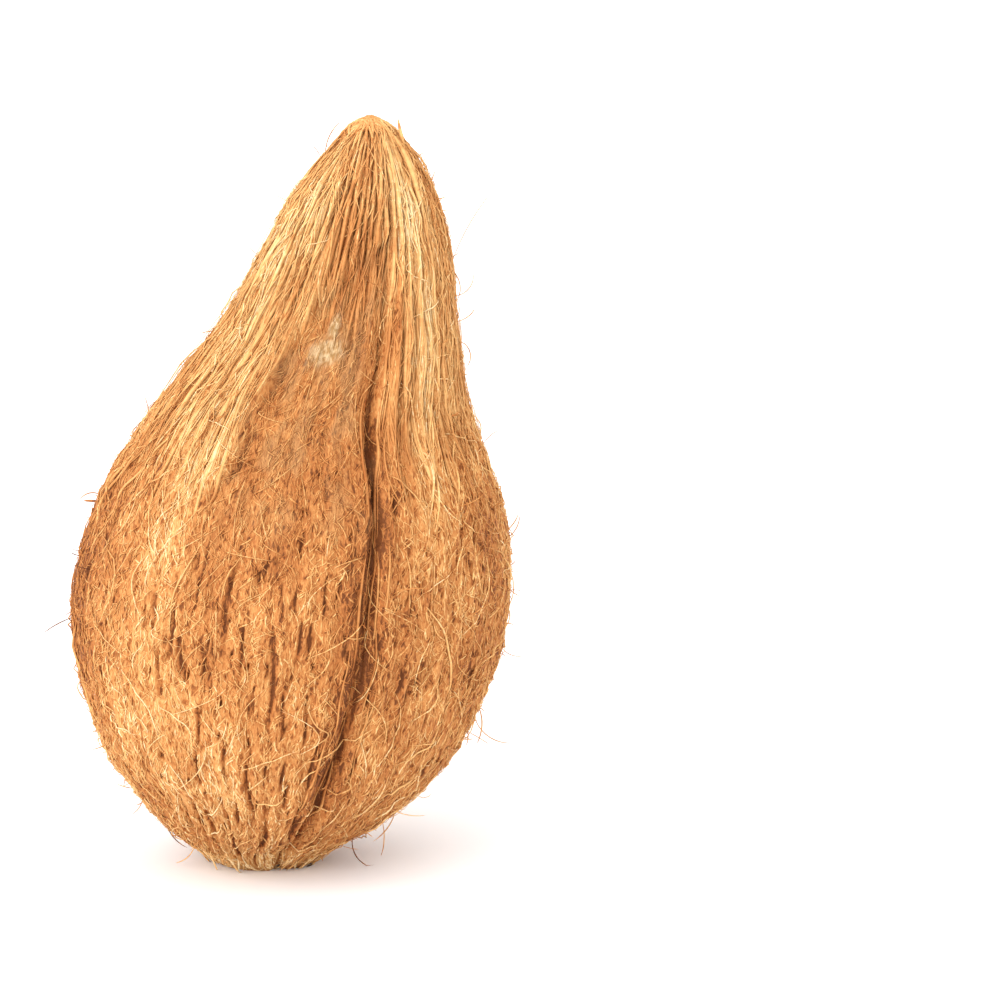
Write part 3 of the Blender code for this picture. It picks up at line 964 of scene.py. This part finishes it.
class COCONUT_OT_tuft(bpy.types.Operator):
    """Add the long strands of the tuft: thick ropes, finer strands and pale ribbons over them,
    and the strands that cross over its tip"""

    bl_idname = "coconut.tuft"
    bl_label = "Tuft"

    def execute(self, context):
        look = settings()
        for name, counted, seed, share, lengths, steps, arch, slant, bow, tone in TUFT_KINDS:
            draw = np.random.default_rng(seed)
            count = getattr(look, counted)
            turn, climb = spread_places(count, *TUFT_HEIGHTS, draw)
            _, masks = coat_shape(turn, climb)
            likely = smooth_step(*STRANDS_FROM, masks["tuft"])
            if name == "tuft_ribbons":
                likely = RIBBON_SHARE * likely * (masks["shade"] > RIBBON_SHADE)
            chosen = draw.uniform(0, 1, count) < likely
            turn, climb = turn[chosen], climb[chosen]
            count = len(turn)
            lines = lay_fibres(
                turn,
                climb,
                length=draw.uniform(*lengths, count),
                slant=draw.normal(0, slant, count),
                bow=draw.normal(0, bow, count),
                arch=arch * draw.uniform(0.0, 1.4, count),
                sunk=TUFT_SUNK,
                steps=steps,
            )
            widths = share * look.rope_width * draw.uniform(0.5, 1.4, count)
            bundles = lattice_noise(turn, climb, *BUNDLE_NOISE)
            tones = tone + BUNDLE_TONE * bundles + draw.normal(0, 0.12, count)
            clear, lines = keep_clear(lines, SEAM_CLEAR)
            fibre_tubes(name, "coir_tuft", lines, widths[clear], ROPE_FLAT, tones[clear])
        self.add_tip(look.tip_count, np.random.default_rng(TIP_SEED))
        return {"FINISHED"}

    def add_tip(self, count, draw):
        """Strands that cross over the tip, so that it isn't a bare point."""
        lines = cross_tip(
            angle=draw.uniform(0, FULL_TURN, count),
            offset=draw.normal(0, 0.0022, count),
            behind=draw.uniform(0.003, 0.012, count),
            ahead=draw.uniform(0.0, 0.005, count),
            arch=draw.uniform(0.0002, 0.0009, count),
            steps=10,
        )
        widths = draw.uniform(0.0004, 0.0009, count)
        tones = draw.normal(0.40, 0.3, count)
        fibre_tubes("tip_strands", "coir_tuft", lines, widths, 0.5, tones)


# Kinds of coat fibre: name, setting of the count, seed, width as a multiple of a fine fibre's,
# ends of the length, steps, arch, slant and sideways bow
COAT_KINDS = (
    ("felt_under", "felt_count", 60, 1.5, (0.0025, 0.0065), 5, 0.00020, 0.50, 0.0008),
    ("felt_over", "felt_count", 61, 1.1, (0.0020, 0.0055), 5, 0.00035, 0.75, 0.0010),
    ("coat_fibres", "coat_count", 62, 0.85, (0.0040, 0.0110), 6, 0.00060, 0.65, 0.0016),
)
COAT_HEIGHTS = (0.0012, HEIGHT * 0.93)
SLANT_MOST = 1.1
FELT_FLAT = 0.45
CLUMP_TONE = 0.22

# The share of coat fibres left out in hollows, by their painted shade, on the pale patch and in
# the tuft, the climbs between which the coat stops counting as low, how far fibres turn to the
# grain low down and in the tuft, and how much longer they are in the tuft
SPARED = {"hollow": 0.8, "scar": 0.9, "tuft": 0.4}
LOW_DOWN = (0.055, 0.095)
LOW_ALIGNED = 0.45
TUFT_ALIGNED = 0.85
TUFT_LONGER = 1.5

# Fibres that cross a place whose painted shade of seams and slits passes this are mostly left
# out, so that slits stay open
SLIT_CLEAR = 0.80
SLIT_CROSSED = 0.05


class COCONUT_OT_coat(bpy.types.Operator):
    """Add the short fibres that make the felt, and the finer ones loose on it"""

    bl_idname = "coconut.coat"
    bl_label = "Coat fibres"

    def execute(self, context):
        look = settings()
        for name, counted, seed, share, lengths, steps, arch, slant, bow in COAT_KINDS:
            draw = np.random.default_rng(seed)
            count = getattr(look, counted)
            turn, climb = spread_places(count, *COAT_HEIGHTS, draw)
            _, masks = coat_shape(turn, climb)
            spare = SPARED["hollow"] * masks["hollow"] ** 2
            spare = spare + SPARED["scar"] * masks["scar"] + SPARED["tuft"] * masks["tuft"]
            chosen = draw.uniform(0, 1, count) > spare
            turn, climb, tuft = turn[chosen], climb[chosen], masks["tuft"][chosen]
            count = len(turn)
            low_down = 1 - smooth_step(*LOW_DOWN, climb)
            aligned = (1 - TUFT_ALIGNED * tuft) * (1 - LOW_ALIGNED * low_down)
            lines = lay_fibres(
                turn,
                climb,
                length=draw.uniform(*lengths, count) * (1 + TUFT_LONGER * tuft),
                slant=draw.normal(0, slant, count).clip(-SLANT_MOST, SLANT_MOST) * aligned,
                bow=draw.normal(0, bow, count) * aligned,
                arch=arch * draw.uniform(0.1, 1.5, count),
                sunk=COAT_SUNK,
                steps=steps,
            )
            widths = share * look.fibre_width * draw.uniform(0.6, 1.3, count)
            clumps = lattice_noise(turn, climb, *CLUMP_NOISE)
            tones = 0.5 + CLUMP_TONE * clumps + draw.normal(0, 0.20, count)
            clear, lines = keep_clear(lines, SLIT_CLEAR + draw.exponential(SLIT_CROSSED, count))
            fibre_tubes(name, "coir_fibres", lines, widths[clear], FELT_FLAT, tones[clear])
        return {"FINISHED"}


# Strands along the seams: how many beside each, how far from its middle they lie, the ends of the
# heights that they start at, of how far they rise and of their widths, how many places each goes
# through and how far these waver, and the least half width that turns are worked out with
SEAM_STRANDS = 12
SEAM_BESIDE = 0.0050
SEAM_STARTS = (0.004, 0.120)
SEAM_RISES = (0.015, 0.045)
SEAM_WIDTHS = (0.0004, 0.0009)
SEAM_PLACES = 5
SEAM_WAVER = 0.0004
SEAM_NARROWEST = 0.02
SEAM_SEED = 65

# Chosen strands of the front: turn in degrees and height in millimetres of each place, width in
# millimetres, and tone. The other thirds repeat them, shifted
CHOSEN_STRANDS = (
    (((24.6, 90), (26, 105), (28.2, 118), (28.4, 130)), 1.1, 1),
    (((25.6, 96), (27, 108), (29.2, 120)), 0.6, 0.95),
    (((22.6, 104), (23.4, 112), (24.2, 122)), 0.6, 0.85),
    (((24.8, 70), (25.2, 80), (25.4, 96)), 0.7, 0.7),
    (((27.2, 78), (27.6, 88), (28, 98)), 0.6, 0.8),
    (((41, 98), (45, 108), (48.2, 117), (49.4, 132)), 0.8, 1),
    (((42, 94), (46, 106), (49.4, 116), (51, 130)), 0.7, 0.95),
    (((43.6, 100), (47.4, 110), (50.6, 120), (52, 134)), 0.6, 1.05),
    (((52, 98), (57, 111), (64, 122), (68, 131)), 0.7, 1),
    (((36, 82), (44, 74), (49, 64), (52, 55), (55, 47)), 0.7, 1.2),
    (((54, 48), (51, 41), (46, 38), (38, 33)), 0.5, 1),
    (((28.5, 114), (36, 109), (40.5, 103)), 0.5, 0.95),
    (((-24, 101), (-27, 92), (-30.5, 82), (-30, 70)), 0.5, 1),
    (((-13, 95), (-16, 89), (-17, 82)), 0.5, 1),
    (((-57, 116), (-46, 105), (-42, 94)), 0.4, 1),
    (((-73, 96), (-59, 92), (-52, 87), (-51, 79), (-58, 71)), 0.4, 1),
    (((15, 73.5), (20, 72.5), (26, 71.5)), 0.4, 0.95),
    (((50, 139), (61, 139.5), (74, 139)), 0.4, 1),
    (((6, 60), (10, 51), (15, 46.5), (8, 43)), 0.4, 0.95),
    (((41, 24), (47, 28), (53, 30)), 0.6, 1),
    (((33, 94), (34, 86), (34, 78)), 0.5, 1),
)
CHOSEN_SHIFT_TURN = math.radians(11)
CHOSEN_SHIFT_DOWN = 0.004

# Strands over a seam keep only this share of its painted shade, and strays this share of any
# painted shade of seams and slits
SEAM_STRAND_SHADE = 0.6
STRAY_SHADE = 0.2


class COCONUT_OT_seams(bpy.types.Operator):
    """Add the strands that run along the seams, and the chosen long strands of each third"""

    bl_idname = "coconut.seams"
    bl_label = "Seam strands"

    def execute(self, context):
        draw = np.random.default_rng(SEAM_SEED)
        routes, widths, tones = [], [], []
        for third in range(3):
            for _ in range(SEAM_STRANDS):
                low = draw.uniform(*SEAM_STARTS)
                heights = np.linspace(low, low + draw.uniform(*SEAM_RISES), SEAM_PLACES)
                climbs = climb_at(heights)
                halves = np.maximum(np.interp(climbs, CLIMB_STEPS, STEP_HALVES), SEAM_NARROWEST)
                beside = draw.uniform(-SEAM_BESIDE, SEAM_BESIDE)
                beside = beside + draw.normal(0, SEAM_WAVER, SEAM_PLACES)
                turns = seam_turn(heights) + third * THIRD + beside / halves
                routes.append(np.stack([turns, climbs], axis=-1))
                widths.append(draw.uniform(*SEAM_WIDTHS))
                tones.append(draw.normal(0.45, 0.15))
            shift = third * THIRD + CHOSEN_SHIFT_TURN * (third % 2)
            for places, width, tone in CHOSEN_STRANDS:
                degrees, heights = np.array(places).T
                climbs = climb_at(heights * MM) - CHOSEN_SHIFT_DOWN * third
                routes.append(np.stack([np.radians(degrees) + shift, climbs], axis=-1))
                widths.append(width * MM)
                tones.append(tone)
        lines = guide_fibres(routes, arch=0.0007, sunk=SEAM_SUNK, steps=18)
        # Strands over a seam keep part of its painted shade
        lines[2]["hollow"] = lines[2]["hollow"] * SEAM_STRAND_SHADE
        fibre_tubes("seam_strands", "coir_tuft", lines, np.array(widths), 0.7, np.array(tones))
        return {"FINISHED"}


# Wisps that stand off the coat on the front's two sides: turn in degrees, height and length in
# millimetres, then in degrees the angle from the upward grain to the outside, the turn in that
# plane and the turn sideways, and the width in millimetres
WISPS = (
    (-88, 98, 4.5, 110, 0, 0, 0.7), (90, 150, 16, 60, -150, 40, 0.3),
    (88, 141, 12, 80, 160, -60, 0.3), (92, 157, 30, 20, 30, 10, 0.2),
    (86, 146, 10, 95, -60, 90, 0.3), (-80, 144, 5, 120, 20, 30, 0.3),
    (-92, 163, 6, 100, -30, -20, 0.2), (-84, 190, 10, 40, -50, 0, 0.3), (70, 191, 9, 18, 0, 0, 1),
    (76, 180, 7, 35, 10, 0, 0.3), (80, 15, 12, 130, 60, -50, 0.3), (72, 13, 14, 110, 50, 40, 0.3),
    (60, 10, 16, 150, -70, 60, 0.3), (76, 46, 12, 120, 60, -30, 0.4),
    (82, 42, 16, 150, -80, 30, 0.3), (-72, 12, 10, 140, 60, 30, 0.3),
    (-60, 6, 9, 120, -50, -60, 0.3), (88, 88, 8, 70, -60, 40, 0.3), (90, 112, 8, 40, 60, 20, 0.2),
    (-89, 120, 6, 150, 40, 0, 0.2),
)
WISP_UNITS = (math.radians(1), MM, MM, math.radians(1), math.radians(1), math.radians(1), MM)
RANDOM_WISPS = 60
FOOT_FIBRES = 420
STRAY_SEED = 70
STRAY_HEIGHTS = (0.004, HEIGHT * 0.93)
FUZZ_HEIGHTS = (0.004, HEIGHT * 0.985)
WISP_HEIGHTS = (0.010, HEIGHT * 0.96)


class COCONUT_OT_strays(bpy.types.Operator):
    """Add long curled fibres that lie across the coat, the fuzz and wisps that stand off it, and
    the ragged fibre ends round the foot"""

    bl_idname = "coconut.strays"
    bl_label = "Stray fibres and fuzz"

    def execute(self, context):
        look = settings()
        draw = np.random.default_rng(STRAY_SEED)
        self.add_strays(look.stray_count, look.fibre_width, draw)
        self.add_fuzz(look.fuzz_count, look.fibre_width, draw)
        self.add_wisps(RANDOM_WISPS, draw)
        self.add_foot(FOOT_FIBRES, draw)
        return {"FINISHED"}

    def add_strays(self, count, width, draw):
        """Long curled fibres that lie across the coat."""
        lines = lay_fibres(
            *spread_places(count, *STRAY_HEIGHTS, draw),
            length=draw.uniform(0.008, 0.026, count),
            slant=draw.normal(0, 0.7, count),
            bow=draw.normal(0, 0.0035, count),
            arch=draw.uniform(0.0005, 0.0016, count),
            sunk=COAT_SUNK,
            steps=10,
        )
        # Strays keep a little of the painted shade of seams and slits
        lines[2]["hollow"] = lines[2]["hollow"] * STRAY_SHADE
        widths = width * draw.uniform(0.70, 1.15, count)
        tones = draw.normal(0.86, 0.15, count)
        fibre_tubes("stray_fibres", "coir_fibres", lines, widths, 1.0, tones)

    def add_fuzz(self, count, width, draw):
        """Short hairs that stand off all over."""
        lines = spring_off(
            *spread_places(count, *FUZZ_HEIGHTS, draw),
            length=0.0010 + 0.0014 * draw.exponential(1.0, count).clip(0, 4),
            lean=draw.uniform(0.2, 2.6, count),
            curl=draw.normal(0, 0.9, count),
            swing=draw.normal(0, 0.9, count),
            steps=5,
        )
        widths = width * draw.uniform(0.5, 0.9, count)
        fibre_tubes("fuzz", "coir_fibres", lines, widths, 1.0, draw.normal(0.25, 0.25, count))

    def add_wisps(self, count, draw):
        """The wisps of the table, and count more at random."""
        named = np.array(WISPS) * WISP_UNITS
        named[:, 1] = climb_at(named[:, 1])
        drawn = (
            *spread_places(count, *WISP_HEIGHTS, draw),
            draw.uniform(0.005, 0.012, count),
            draw.uniform(0.3, 2.6, count),
            draw.normal(0, 1.2, count),
            draw.normal(0, 1.0, count),
            draw.uniform(0.0002, 0.00035, count),
        )
        *places, widths = np.concatenate([named, np.stack(drawn, axis=-1)]).T
        tones = draw.normal(0.15, 0.2, len(widths))
        fibre_tubes("wisps", "coir_fibres", spring_off(*places, steps=12), widths, 1.0, tones)

    def add_foot(self, count, draw):
        """Ragged ends that hang down round the flat spot."""
        lines = spring_off(
            turn=draw.uniform(0, FULL_TURN, count),
            climb=SPOT_RADIUS + draw.uniform(0.0005, 0.012, count),
            length=draw.uniform(0.003, 0.009, count),
            lean=math.pi - draw.uniform(0.0, 0.28, count),
            curl=draw.normal(0.25, 0.3, count),
            swing=draw.normal(0, 0.4, count),
            steps=7,
        )
        widths = draw.uniform(0.0003, 0.0008, count)
        tones = draw.normal(0.6, 0.22, count)
        fibre_tubes("foot_fibres", "coir_fibres", lines, widths, 0.8, tones)


# The stage: half the floor's side, the camera's angle above level, the point it looks at, the
# width that it sees there, its sensor's width, and how far it sees. Each lamp has the name of
# its strength's setting, how wide it looks in degrees, and the way that its light goes
FLOOR_REACH = 4.0
FLOOR_COLOUR = (0.96, 0.96, 0.96, 1.0)
FLOOR_ROUGHNESS = 0.9
WHITE = (1.0, 1.0, 1.0, 1.0)
LAMPS = (
    ("key", "sun_strength", 50, (1.0, 0.75, -0.9)),
    ("low", "fill_strength", 60, (0.6, 1.0, -0.05)),
)
CAMERA_ELEVATION = math.radians(12)
CAMERA_AIM = (0.0552, 0.0, 0.0982)
VIEW_WIDTH = 0.2646
SENSOR = 36.0
CAMERA_REACH = 20.0


class COCONUT_OT_stage(bpy.types.Operator):
    """Add the pale floor, the soft studio light and the camera"""

    bl_idname = "coconut.stage"
    bl_label = "Stage"

    def execute(self, context):
        look = settings()
        scene = context.scene
        self.add_floor(scene)
        self.add_lights(scene, look)
        self.add_camera(scene, look.camera_distance)
        scene.view_settings.view_transform = "Standard"
        scene.view_settings.look = "None"
        return {"FINISHED"}

    def add_floor(self, scene):
        """A flat square under the coconut."""
        reach = FLOOR_REACH
        corners = [(-reach, -reach, 0), (reach, -reach, 0), (reach, reach, 0), (-reach, reach, 0)]
        mesh = bpy.data.meshes.new("floor")
        mesh.from_pydata(corners, [], [(0, 1, 2, 3)])
        floor = bpy.data.objects.new("floor", mesh)
        material = bpy.data.materials.new("pale_floor")
        material.use_nodes = True
        shader = material.node_tree.nodes["Principled BSDF"]
        shader.inputs["Base Color"].default_value = FLOOR_COLOUR
        shader.inputs["Roughness"].default_value = FLOOR_ROUGHNESS
        shader.inputs["Specular IOR Level"].default_value = 0.0
        mesh.materials.append(material)
        scene.collection.objects.link(floor)

    def add_lights(self, scene, look):
        """White light from all round and the wide soft lamps of the table."""
        world = bpy.data.worlds.new("studio")
        world.use_nodes = True
        background = world.node_tree.nodes["Background"]
        background.inputs["Color"].default_value = WHITE
        background.inputs["Strength"].default_value = look.sky_strength
        scene.world = world
        for name, strength, width, direction in LAMPS:
            lamp = bpy.data.lights.new(name, "SUN")
            lamp.energy = getattr(look, strength)
            lamp.angle = math.radians(width)
            light = bpy.data.objects.new(name, lamp)
            light.rotation_euler = Vector(direction).to_track_quat("-Z", "Y").to_euler()
            scene.collection.objects.link(light)

    def add_camera(self, scene, distance):
        """A camera that looks down at the aim, with the lens that shows the view's width."""
        lens = bpy.data.cameras.new("camera")
        lens.sensor_width = SENSOR
        lens.lens = SENSOR * distance / VIEW_WIDTH
        lens.clip_end = CAMERA_REACH
        camera = bpy.data.objects.new("camera", lens)
        back = Vector((0.0, -math.cos(CAMERA_ELEVATION), math.sin(CAMERA_ELEVATION)))
        camera.location = Vector(CAMERA_AIM) + distance * back
        camera.rotation_euler = (-back).to_track_quat("-Z", "Y").to_euler()
        scene.collection.objects.link(camera)
        scene.camera = camera


class COCONUT_PT_panel(bpy.types.Panel):
    """The coconut's sizes, colours and pieces"""

    bl_idname = "COCONUT_PT_panel"
    bl_label = "Husked coconut"
    bl_space_type = "VIEW_3D"
    bl_region_type = "UI"
    bl_category = "Coconut"

    def draw(self, context):
        look = context.scene.coconut
        for key in CoconutSettings.__annotations__:
            self.layout.prop(look, key)
        for piece in PIECES:
            self.layout.operator(piece.bl_idname)


PIECES = (
    COCONUT_OT_husk,
    COCONUT_OT_tuft,
    COCONUT_OT_coat,
    COCONUT_OT_seams,
    COCONUT_OT_strays,
    COCONUT_OT_stage,
)
CLASSES = (CoconutSettings, *PIECES, COCONUT_PT_panel)


def register():
    """Makes the classes and the settings known."""
    for made in CLASSES:
        bpy.utils.register_class(made)
    bpy.types.Scene.coconut = bpy.props.PointerProperty(type=CoconutSettings)


def unregister():
    """Takes them back, last first."""
    del bpy.types.Scene.coconut
    for made in reversed(CLASSES):
        bpy.utils.unregister_class(made)


def main():
    """Builds the pieces in order."""
    register()
    bpy.ops.coconut.husk()
    bpy.ops.coconut.tuft()
    bpy.ops.coconut.coat()
    bpy.ops.coconut.seams()
    bpy.ops.coconut.strays()
    bpy.ops.coconut.stage()


if __name__ == "__main__":
    main()
